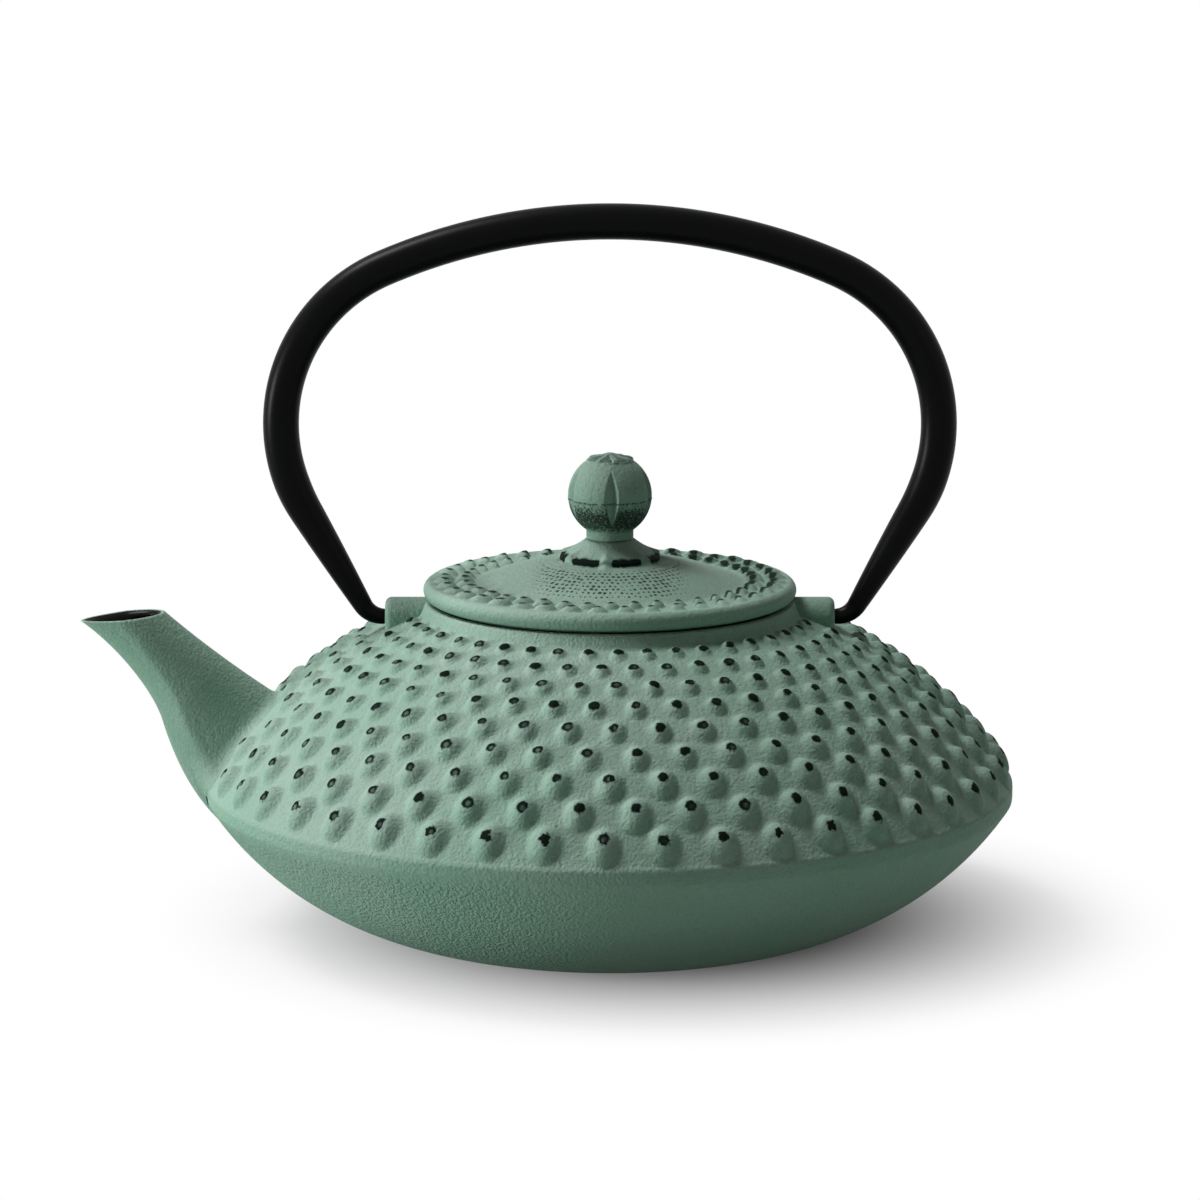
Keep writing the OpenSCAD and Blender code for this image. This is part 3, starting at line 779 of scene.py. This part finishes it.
def ear_rings(side):
    """A lug as rings along X, and then its bore.

    A ring is a half circle above the pin, and below it a rounded square that reaches further down.
    The outer edge is eased by a quarter circle."""
    turn = np.linspace(0, 2 * np.pi, 48, endpoint=False)
    ring_y, ring_z = np.sin(turn), np.cos(turn)
    bend = np.linspace(0.2, np.pi / 2, 6)
    out = np.concatenate([[NECK_R - 6], np.linspace(NECK_R - 5, EAR_OUT - EAR_ROUND, 9),
                          EAR_OUT - EAR_ROUND * (1 - np.sin(bend))])
    inset = np.concatenate([np.zeros(10), EAR_ROUND * (1 - np.cos(bend))])
    radius = (EAR_R - inset)[:, None]
    square = np.maximum(np.abs(ring_y), np.abs(ring_z))
    wider = np.where(ring_z < 0, 1 / np.maximum(square, EAR_CORNER), 1)
    y = np.clip(ring_y * radius * wider, -radius, radius)
    z = ring_z * (radius + np.where(ring_z < 0, EAR_DROP, 0))
    bore = np.array([BORE_R + BORE_EASE, BORE_R, BORE_R])[:, None]
    out = np.concatenate([out, [EAR_OUT, EAR_OUT - 0.4, EAR_OUT - BORE_DEEP]])
    y = np.concatenate([y, ring_y * bore])
    z = np.concatenate([z, ring_z * bore])
    return np.stack([side * out[:, None] + 0 * y, y, PIVOT_Z + z], -1)


ear_green = sage_iron("sage_ear_iron")
for name, side in (("pot_ear_left", -1), ("pot_ear_right", 1)):
    ear = surface(name, ear_rings(side), [ear_green])
    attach(ear, "pot")

# ---- Lid ----
# The lid is a second casting: a round rim, a border with two rings of slanted petals, a low dome
# with a stippled face, and a calyx under the knob. A ring below it drops into the infuser.
LID_R = 46.8
RIM_R = 2.35
RIM_Z = 86.55
LID_GAP = 0.05
BORDER_Z = 88.5
DOME_R = 33.25
DOME_H = 6.7
CALYX_R = 12.5
CALYX_Z = 99.5
CALYX_EDGE = 95.6
STEM_R = 5.9
FLANGE_R = 34.9
FLANGE_T = 2.6
FLANGE_Z = 76.6
BOSS_R = 7
BOSS_Z = 89.8
LID_WALL = 3.4
LID_EASE = 0.35
# Petals: for each ring its radius, its turn in petals, and a petal's half length and half width.
PETALS = 40
PETAL_COLUMNS = 16
PETAL_RINGS = ((36.2, 0.0, 3.0, 1.7), (41.4, 0.5, 3.2, 2.0))
PETAL_SLANT = np.radians(38)
PETAL_TALL = 1.6
PETAL_CHANCE = 0.1
PETAL_STEEP = 0.5
PETAL_FLAT = 1.3
PETAL_ROUND = 0.9
CREST_REACH = 1.25
CREST_WIDE = 1.6
CREST_LONG = 1.75
PETAL_WORN = 0.9
WORN_SCALE = 650
# Calyx: ribs round its edge, with a slot between each two, darkened by painted shade.
CALYX_RIBS = 7
RIB_TALL = 0.55
SLOT_DEEP = 0.45
# Stipple: how far its rings lie apart, and where it fades in, fades out and fades at both sides.
STIPPLE = 1.75
STIPPLE_IN = (13.5, 18.5)
STIPPLE_OUT = (33.5, 28)
STIPPLE_SIDES = (23, 12)
STIPPLE_DARK = 0.85
STIPPLE_PATCHES = 60
PITS_MORE = 8.0
PIT_SLIP = 0.34
PIT_CHANCE = 0.16


def lid_outline():
    """The lid's outline: out along the underside and round the locating ring, round the rim, in over
    the border and the dome, and up the calyx, whose height rises as a power of the way in."""
    dome_radius = (DOME_R**2 + DOME_H**2) / (2 * DOME_H)
    dome_centre = BORDER_Z + DOME_H - dome_radius

    def dome(r, radius):
        """Points at radii from the axis on a round about the dome's centre."""
        return np.stack([r, dome_centre + np.sqrt(radius**2 - r**2)], 1)

    rim_r = LID_R - RIM_R
    seat_z = NECK_Z + LID_GAP
    rim_angle = np.linspace(-np.pi / 2, np.pi * 0.42, 40)
    rim = np.stack([rim_r + RIM_R * np.cos(rim_angle), RIM_Z + RIM_R * np.sin(rim_angle)], 1)
    calyx_r = np.linspace(CALYX_R - 0.3, STEM_R + 0.2, 30)
    calyx_rise = ((CALYX_R - calyx_r) / (CALYX_R - STEM_R)) ** 1.35
    return eased(np.concatenate([
        [(HUB_R, BOSS_Z), (BOSS_R, BOSS_Z)],
        dome(np.linspace(BOSS_R + 0.4, FLANGE_R - FLANGE_T, 50), dome_radius - LID_WALL),
        [(FLANGE_R - FLANGE_T, FLANGE_Z), (FLANGE_R, FLANGE_Z), (FLANGE_R, seat_z),
         (rim_r - 0.7, seat_z), (rim_r - 0.6, RIM_Z - RIM_R)], rim,
        [(rim_r - 0.9, BORDER_Z + 0.1), (rim_r - 1.6, BORDER_Z - 0.15), (DOME_R + 0.6, BORDER_Z - 0.1)],
        dome(np.linspace(DOME_R, CALYX_R + 0.1, 80), dome_radius), [(CALYX_R, CALYX_EDGE)],
        np.stack([calyx_r, CALYX_EDGE + (CALYX_Z - CALYX_EDGE) * calyx_rise], 1),
        [(STEM_R - 0.2, CALYX_Z), (HUB_R, CALYX_Z)]]), LID_EASE, 0.1)


def petal_ring(angle, r, radius, shift, long, wide, chance):
    """One ring of petals, as a share of their height, and how near each point is to a crest.

    A petal is a slanted egg, steep on one side and flat on the other, and falls as a hobnail does."""
    cell = angle / (2 * np.pi) * PETALS - shift
    tall = chance.normal(1.0, PETAL_CHANCE, PETALS)[np.round(cell).astype(int) % PETALS]
    across = (cell - np.round(cell)) * 2 * np.pi / PETALS * radius
    outward = (r - radius)[:, None] + 0 * across
    x = across * np.cos(PETAL_SLANT) + outward * np.sin(PETAL_SLANT)
    y = -across * np.sin(PETAL_SLANT) + outward * np.cos(PETAL_SLANT)
    far = np.hypot(x / np.where(x < 0, wide * PETAL_STEEP, wide * PETAL_FLAT), y / long)
    crest = np.clip(CREST_REACH - np.hypot(x / CREST_WIDE, (y + 0.1) / CREST_LONG), 0, 1)
    return np.clip(1 - far**2, 0, 1) ** PETAL_ROUND * tall, crest


def lid_rings():
    """The lid as rings round the axis, with its petals' crests and its calyx's slots.

    The calyx's edge rises in a rib, as a bell curve round the axis, between each two of its slots."""
    line = lid_outline()
    under = length_at(line, (FLANGE_R - FLANGE_T, FLANGE_Z))
    rim_start = length_at(line, (LID_R - RIM_R, RIM_Z - RIM_R))
    rim_stop = length_at(line, (LID_R - RIM_R - 1.6, BORDER_Z - 0.15))
    border_stop = length_at(line, (DOME_R, BORDER_Z))
    calyx = length_at(line, (CALYX_R, BORDER_Z + DOME_H))
    end = run_lengths(line)[-1]
    at = stations(0, (14, under), (16, rim_start), (16, rim_stop), (30, border_stop - 0.5),
                  (26, calyx - 0.8), (25, end - STEM_R), (1, end))
    r, z = on_outline(line, at)
    turned = np.linspace(0, 2 * np.pi, PETAL_COLUMNS * PETALS, endpoint=False)
    angle = turned[None, :] + 0 * at[:, None]
    top = ((at > rim_start) & (z > RIM_Z))[:, None]
    height = np.zeros_like(angle)
    crest = np.zeros_like(angle)
    chance = np.random.default_rng(11)
    for radius, shift, long, wide in PETAL_RINGS:
        share, near = petal_ring(angle, r, radius, shift, long, wide, chance)
        height = np.maximum(height, PETAL_TALL * share * top)
        crest = np.maximum(crest, near * top)

    on_dome = at > border_stop
    cell = angle / (2 * np.pi) * CALYX_RIBS + 0.1
    off_rib = np.abs(cell - np.round(cell))
    by_edge = np.exp(-((z - CALYX_EDGE + 0.1) / 1.5) ** 2 - ((r - CALYX_R) / 2.4) ** 2) * on_dome
    slot = np.clip((off_rib - 0.08) / 0.1, 0, 1) * by_edge[:, None]
    off_rib_mm = off_rib * 2 * np.pi / CALYX_RIBS * np.maximum(r[:, None], 1)
    by_foot = np.exp(-((r - CALYX_R + 0.5) / 2.6) ** 2) * on_dome
    rib = np.exp(-(off_rib_mm / 0.9) ** 2) * by_foot[:, None]
    height = height + RIB_TALL * rib - SLOT_DEEP * slot
    return round_axis(r[:, None], z[:, None] + height, angle), crest, slot


def lid_marks(tree, place):
    """Dark on the petals' worn crests and in the dome's fine stipple of pits, and painted shade in the
    calyx's slots.

    The pits lie in rings, one STIPPLE apart. Each is a little off its place and larger or smaller by
    chance and in patches, and they fade out at the dome's edge, at the calyx and at both sides."""
    ragged = grain(tree, place, WORN_SCALE, 3.0) * 0.8 - 0.4
    worn = fade(mark_of(tree, "crest") + ragged, 0.4, 0.75) * PETAL_WORN
    # Painted shade in the calyx's slots, where the metal is recessed.
    painted_slot_shade = fade(mark_of(tree, "slot") + ragged, 0.35, 0.75)
    x, y, z = parts_of(tree, place)
    radius = span(x, y)
    band = fade_mm(radius, STIPPLE_IN) * fade_mm(radius, STIPPLE_OUT)
    band = band * fade_mm(x.math("ABSOLUTE"), STIPPLE_SIDES)
    ring = radius / (STIPPLE * MM)
    ring_number = ring.math("ROUND")
    in_ring = (ring_number * PITS_MORE).math("ROUND")
    round_ring = y.math("ARCTAN2", x) * (in_ring / (2 * np.pi)) + ring_number * 0.5
    pit_number = round_ring.math("ROUND")
    _, (outward, aside, larger) = lots(tree, pit_number, ring_number)
    off_ring = (ring - ring_number) - (outward * PIT_SLIP - PIT_SLIP / 2)
    off_pit = (round_ring - pit_number) - (aside * PIT_SLIP - PIT_SLIP / 2)
    patchy = fade(grain(tree, place, STIPPLE_PATCHES, 2.0), 0.3, 0.65) * 0.14 + 0.08
    reach = (larger * PIT_CHANCE + patchy) * band
    pit = fade(span(off_ring, off_pit) - reach, 0.07, -0.05) * STIPPLE_DARK
    upper = fade_mm(z, (BORDER_Z, BORDER_Z + 1))
    stipple = pit * (fade(band, 0.02, 0.3) * upper)
    return worn.math("MAXIMUM", painted_slot_shade).math("MAXIMUM", stipple)


rings, crest, slots = lid_rings()
lid_green = sage_iron("sage_lid_iron", lid_marks)
lid = surface("lid_casting", rings, [lid_green], marks={"crest": crest, "slot": slots})
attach(lid, "lid")
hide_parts("lid")

# ---- Knob ----
# The knob is cast hollow and held by a screw from below: a ball with five lens-shaped flutes,
# a flower cap on top, and a short neck that stands on the lid's calyx.
BALL_R = 10.5
BALL_Z = 110.4
CAP_R = 5.9
CAP_TOP = 121.1
KNOB_HUB_R = 0.3
KNOB_EASE = 0.25
KNOB_COLUMNS = 320
FLUTES = 5
FLUTE_TURN = np.radians(2)
FLUTE_HALF = 1.75
FLUTE_LONG = 7.2
FLUTE_DEEP = 0.95
FLUTE_ASIDE = 0.55
SPOKES = 8
SPOKE_TURN = np.radians(14)
SPOKE_HALF = 0.45
POCKET_IN = 0.3
POCKET_DOWN = 0.22
CASTING_LINE = 0.8
CASTING_LINE_TALL = 0.1
CASTING_LINE_HALF = 0.22
SPECKLE_SCALE = 2000
SPECKLE_TOP = (BALL_Z + 1.0, BALL_Z - 4.5)
SPECKLE_FOOT = (BALL_Z - 10.2, BALL_Z - 6.5)
SPECKLE_MORE = 0.3
KNOB_DARK = 0.9
# How dark the painted shade in the cap's pockets is.
POCKET_PAINTED_SHADE = 0.75
cap_base = BALL_Z - BALL_R * np.cos(np.pi - np.arcsin(CAP_R / BALL_R))


def knob_outline():
    """The knob's outline: out under the neck, up it, round the ball and in over the cap."""
    low = np.arcsin(STEM_R / BALL_R)
    ball_angle = np.linspace(low, np.pi - np.arcsin(CAP_R / BALL_R), 90)
    ball = np.stack([BALL_R * np.sin(ball_angle), BALL_Z - BALL_R * np.cos(ball_angle)], 1)
    neck = [(KNOB_HUB_R, CALYX_Z), (STEM_R, CALYX_Z), (STEM_R, ball[0, 1] - 0.2)]
    cap = [(CAP_R + 0.1, cap_base + 0.5), (CAP_R - 0.6, cap_base + 1.0), (2.2, CAP_TOP - 0.5),
           (0.9, CAP_TOP - 0.05), (KNOB_HUB_R, CAP_TOP)]
    return eased(np.concatenate([neck, ball, cap]), KNOB_EASE, 0.08)


def knob_rings():
    """The knob as rings round the axis, with the depths of its flutes and of its cap's pockets.

    A flute is a V-shaped dip, deepest to one side of its middle and widest at the ball's middle. A
    fine line of metal stands round the ball where the mould's halves met."""
    line = knob_outline()
    at = stations(0, (3, STEM_R - 0.5), (119, run_lengths(line)[-1]))
    r, z = (values[:, None] for values in on_outline(line, at))
    angle = np.linspace(0, 2 * np.pi, KNOB_COLUMNS, endpoint=False)[None, :] + 0 * r

    cell = (angle - FLUTE_TURN) / (2 * np.pi) * FLUTES
    across = (cell - np.round(cell)) * 2 * np.pi / FLUTES * r
    half = FLUTE_HALF * np.clip(1 - ((z - BALL_Z) / FLUTE_LONG) ** 2, 0, 1)
    deepest = FLUTE_ASIDE * half
    from_left = np.clip((across + half) / np.maximum(deepest + half, 1e-3), 0, 1)
    from_right = np.clip((half - across) / np.maximum(half - deepest, 1e-3), 0, 1)
    on_ball = (z > BALL_Z - 9) & (z < BALL_Z + 8.5)
    flute = np.minimum(from_left, from_right) * half * FLUTE_DEEP * on_ball
    from_line = z - BALL_Z + CASTING_LINE
    metal_line = CASTING_LINE_TALL * np.exp(-(from_line / CASTING_LINE_HALF) ** 2) * on_ball

    spoke_cell = (angle - SPOKE_TURN) / (2 * np.pi) * SPOKES
    off_spoke = np.abs(spoke_cell - np.round(spoke_cell)) * 2 * np.pi / SPOKES * r
    on_cap = np.clip((z - cap_base - 0.2) / 0.4, 0, 1) * (r > 1.6)
    pocket = np.clip((off_spoke - SPOKE_HALF) / 0.4, 0, 1) * on_cap
    r = np.maximum(r - (flute - metal_line + POCKET_IN * pocket), 0.05)
    return round_axis(r, z - POCKET_DOWN * pocket, angle), flute, pocket


def knob_marks(tree, place):
    """Dark speckle low on the ball but not in the flutes, painted shade in the cap's pockets, and dark
    on the casting line."""
    z = parts_of(tree, place)[2]
    ragged = grain(tree, place, SPECKLE_SCALE, 3.0, 0.8)
    low = fade_mm(z, SPECKLE_TOP) * fade_mm(z, SPECKLE_FOOT)
    speckle = fade(low * SPECKLE_MORE + ragged, 0.58, 0.8) * fade(mark_of(tree, "flute"), 0.5, 0.1)
    from_line = (z - (BALL_Z - CASTING_LINE) * MM).math("ABSOLUTE")
    line = fade_mm(from_line, (0.35, 0.1)) * fade(ragged, 0.4, 0.55)
    # Painted shade in the cap's pockets, where the metal is recessed.
    painted_pocket_shade = fade(ragged * 0.8 + mark_of(tree, "pocket"), 0.9, 1.6) * POCKET_PAINTED_SHADE
    return speckle.math("MAXIMUM", line).math("MAXIMUM", painted_pocket_shade) * KNOB_DARK


rings, flute, pocket = knob_rings()
knob_green = sage_iron("sage_knob_iron", knob_marks)
knob = surface("knob_casting", rings, [knob_green], marks={"flute": flute, "pocket": pocket})
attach(knob, "lid")
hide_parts("lid_knob")

# ---- Handle ----
# The bail is one bent iron rod, thin where it enters the ears and thick over the top, finished
# in satin black. It swings forwards and back on its two pin ends.
PIN_R = 1.85
PIN_END_GAP = 0.4
LEG_LEAN = np.radians(59.5)
LEG_LONG = 27.8
FOOT_BEND = 6
BOW_R = 42.8
BOW_TURN = np.radians(97)
BOW_D = 9
TAPER = 42
TAPER_POWER = 1.35
SATIN_BLACK = (0.0013, 0.0017, 0.0015, 1)
SATIN_ROUGH = 0.34


def bail_rings():
    """A round section carried along the pin, the foot's bend, the straight leg, the shoulder's arc and
    the crown's arc, then along their mirror image.

    Beyond the pin the radius grows with the distance from the foot, as 1 minus a power of what is
    left of the taper."""
    crown_turn = np.pi - LEG_LEAN - BOW_TURN
    leg_way = np.array([np.cos(LEG_LEAN), np.sin(LEG_LEAN)])
    start = np.array([EAR_OUT + 0.5, PIVOT_Z])

    def turned(p, heading, radius, a):
        """Where arcs from p arrive that head along heading and turn left by a."""
        ahead = np.sin(heading + a) - np.sin(heading)
        aside = np.cos(heading) - np.cos(heading + a)
        return p + radius * np.stack([ahead, aside], -1)

    leg_low = turned(start, 0, FOOT_BEND, LEG_LEAN)
    leg_high = leg_low + LEG_LONG * leg_way
    bow_end = turned(leg_high, LEG_LEAN, BOW_R, BOW_TURN)
    crown_r = bow_end[0] / np.sin(crown_turn)
    foot_stop = FOOT_BEND * LEG_LEAN
    leg_stop = foot_stop + LEG_LONG
    bow_stop = leg_stop + BOW_R * BOW_TURN
    s = stations(0, (10, foot_stop), (16, leg_stop), (56, bow_stop), (23, bow_stop + crown_r * crown_turn))
    bends = [s < foot_stop, s < leg_stop, s < bow_stop]
    in_bow = (s - leg_stop) / BOW_R
    in_crown = (s - bow_stop) / crown_r
    heading = np.select(bends, [s / FOOT_BEND, LEG_LEAN + 0 * s, LEG_LEAN + in_bow],
                        LEG_LEAN + BOW_TURN + in_crown)
    middle = np.select([bend[:, None] for bend in bends], [
        turned(start, 0, FOOT_BEND, heading), leg_low + (s - foot_stop)[:, None] * leg_way,
        turned(leg_high, LEG_LEAN, BOW_R, in_bow)], turned(bow_end, LEG_LEAN + BOW_TURN, crown_r, in_crown))
    thin = PIN_R + 0.1
    radius = thin + (BOW_D / 2 - thin) * (1 - (1 - np.minimum(s / TAPER, 1)) ** TAPER_POWER)

    pin_end = EAR_OUT - BORE_DEEP + PIN_END_GAP
    pin = np.array([(pin_end, PIN_R - 0.3), (pin_end + 0.4, PIN_R), (EAR_OUT, PIN_R)])
    middle = np.concatenate([np.stack([pin[:, 0], np.full(3, PIVOT_Z)], 1), middle])
    heading = np.concatenate([np.zeros(3), heading])[:, None]
    radius = np.concatenate([pin[:, 1], radius])[:, None]
    turn = np.linspace(0, 2 * np.pi, 48, endpoint=False)
    x = middle[:, :1] - radius * np.cos(turn) * np.sin(heading)
    z = middle[:, 1:] + radius * np.cos(turn) * np.cos(heading)
    half = np.stack([x, radius * np.sin(turn), z], -1)
    return np.concatenate([half, (half * (-1, 1, 1))[-2::-1]])


bail = surface("bail", bail_rings(), [enamel_black("satin_black", SATIN_BLACK, SATIN_ROUGH)])
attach(bail, "handle")
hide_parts("handle")

# ---- Infuser and knob screw ----
# The infuser is stainless steel: a flat rim, a basket of woven wire and a pressed cup for its
# bottom. The knob's screw and washer are plain steel.
STEEL = (0.56, 0.57, 0.58, 1)
STEEL_PALE = (0.68, 0.69, 0.7, 1)
STEEL_ROUGH = 0.3
STEEL_BUMP = (0.1, 0.00005)
BRUSH_SCALE = 60
BRUSH_STRETCH = 12
WIRE_R = 0.14
WIRE_PITCH = 1.1
WIRE_IN = 0.3
HOOP_STEPS = 120
UPRIGHTS = 200
wall_low, wall_high = (np.array(corner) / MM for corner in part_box("infuser_wall"))
HOOP_R = wall_high[0] - WIRE_IN


def steel(name):
    """Stainless steel with fine brushed lines round the axis."""
    material, tree = blank_finish(name)
    place = add(tree, "TexCoord").outputs["Object"]
    stretch = (1, 1, BRUSH_STRETCH)
    stretched = add(tree, "Mapping", place, None, None, stretch, vector_type="POINT").outputs[0]
    lines = grain(tree, stretched, BRUSH_SCALE, 3.0)
    tint = mixed(fade(lines, 0.3, 0.7), STEEL, STEEL_PALE)
    coat(tree, {"Base Color": tint, "Metallic": 1, "Roughness": STEEL_ROUGH}, lines, *STEEL_BUMP)
    return material


def wire_basket():
    """Points and faces of the basket's hoops and uprights.

    Each wire is a square section, WIRE_R from its middle to a corner, carried round the basket or
    straight up it. All middles lie on one radius."""
    corner = np.radians([0, 90, 180, 270])
    corner_r = HOOP_R + WIRE_R * np.cos(corner)
    corner_side = WIRE_R * np.sin(corner)
    heights = np.arange(wall_low[2] + WIRE_PITCH, wall_high[2] - 0.5, WIRE_PITCH)[:, None, None]
    turn = np.linspace(0, 2 * np.pi, HOOP_STEPS, endpoint=False)[:, None]
    hoops = np.stack(np.broadcast_arrays(
        corner_r * np.cos(turn), corner_r * np.sin(turn), heights + corner_side), -1)
    turn = np.linspace(0, 2 * np.pi, UPRIGHTS, endpoint=False)[:, None, None]
    ends = np.array([wall_low[2], wall_high[2]])[:, None]
    uprights = np.stack(np.broadcast_arrays(
        corner_r * np.cos(turn) - corner_side * np.sin(turn),
        corner_r * np.sin(turn) + corner_side * np.cos(turn), ends), -1)

    here = np.arange(hoops.size // 3).reshape(hoops.shape[:3])
    ahead = np.roll(here, -1, 1)
    round_hoops = np.stack([here, ahead, np.roll(ahead, -1, 2), np.roll(here, -1, 2)], -1)
    both_ends = here.size + np.arange(uprights.size // 3).reshape(uprights.shape[:3])
    low, high = both_ends[:, 0], both_ends[:, 1]
    up_sides = np.stack([low, np.roll(low, -1, 1), np.roll(high, -1, 1), high], -1)
    faces = np.concatenate([round_hoops.reshape(-1, 4), up_sides.reshape(-1, 4), low[:, ::-1], high])
    return np.concatenate([hoops.reshape(-1, 3), uprights.reshape(-1, 3)]), faces


stainless = steel("brushed_stainless")
for node in ("infuser_rim", "infuser_cup", "knob_washer", "knob_screw"):
    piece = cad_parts[node]
    piece.data.materials.clear()
    piece.data.materials.append(stainless)

points, faces = wire_basket()
mesh = bpy.data.meshes.new("basket_wires")
mesh.from_pydata((points * MM).tolist(), [], faces.tolist())
basket = bpy.data.objects.new("basket_wires", mesh)
scene.collection.objects.link(basket)
mesh.materials.append(stainless)
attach(basket, "infuser")
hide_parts("infuser_wall")
